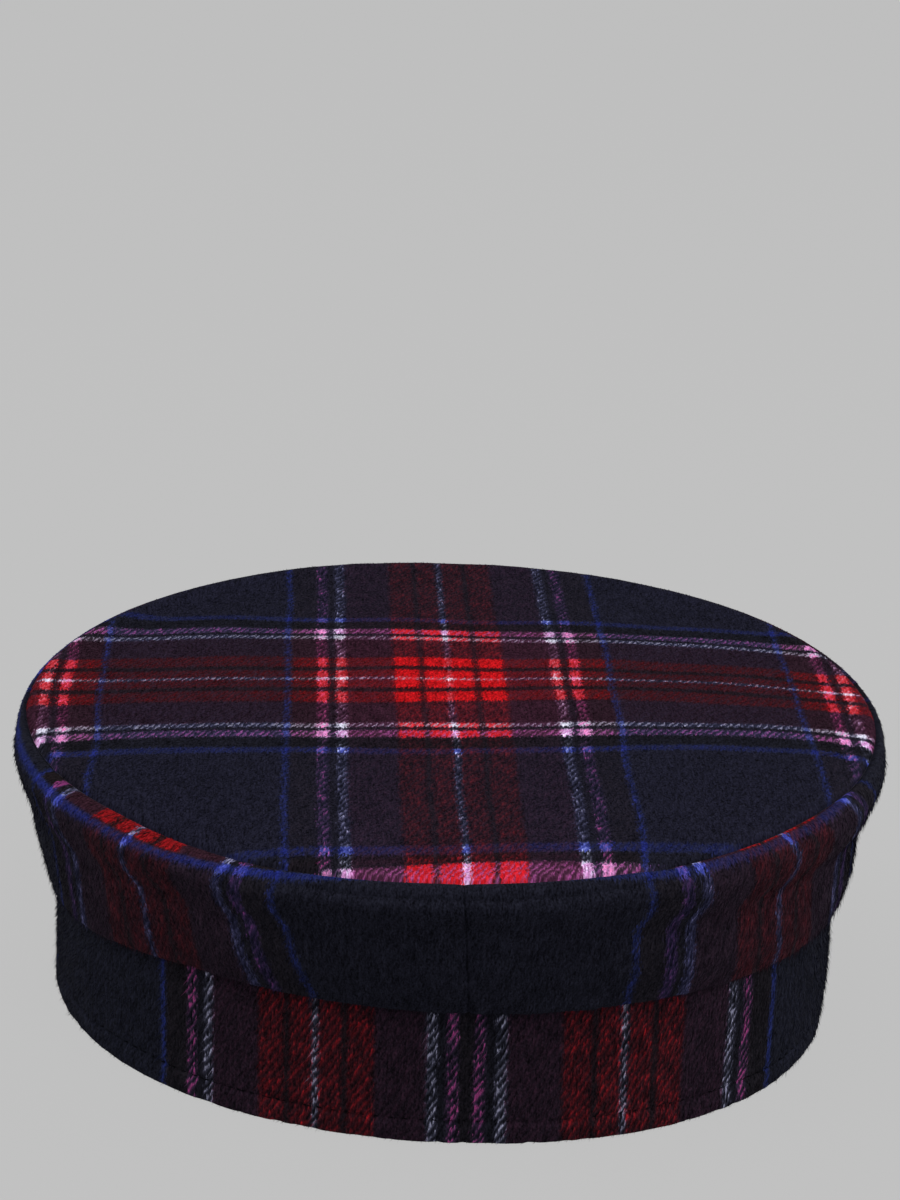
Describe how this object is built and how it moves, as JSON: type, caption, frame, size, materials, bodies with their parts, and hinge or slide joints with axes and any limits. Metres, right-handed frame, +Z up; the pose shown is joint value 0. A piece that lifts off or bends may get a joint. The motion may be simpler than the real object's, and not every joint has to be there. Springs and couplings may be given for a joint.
{
  "type": "baker boy cap",
  "caption": "Flat-topped baker boy cap of brushed checked cloth: domed oval crown panel, soft two-part side, upright head band and short plain peak.",
  "frame": {"origin": "middle of the cap's length and width, on the plane it rests on", "axes": "+Y towards the peak, +Z up, +X to the right seen from behind"},
  "size_m": [0.2124, 0.243, 0.0805],
  "materials": {
    "top_cloth": "brushed checked twill, navy and maroon with red, pink, white and blue lines",
    "side_cloth": "brushed checked twill, mostly navy",
    "band_cloth": "brushed checked twill, dark maroon and navy with red stripes",
    "peak_cloth": "brushed checked twill, navy"
  },
  "bodies": {
    "root": {"crown_top": "top_cloth", "side_panel_left": "side_cloth", "side_panel_right": "side_cloth", "head_band": "band_cloth", "peak": "peak_cloth"}
  },
  "joints": []
}
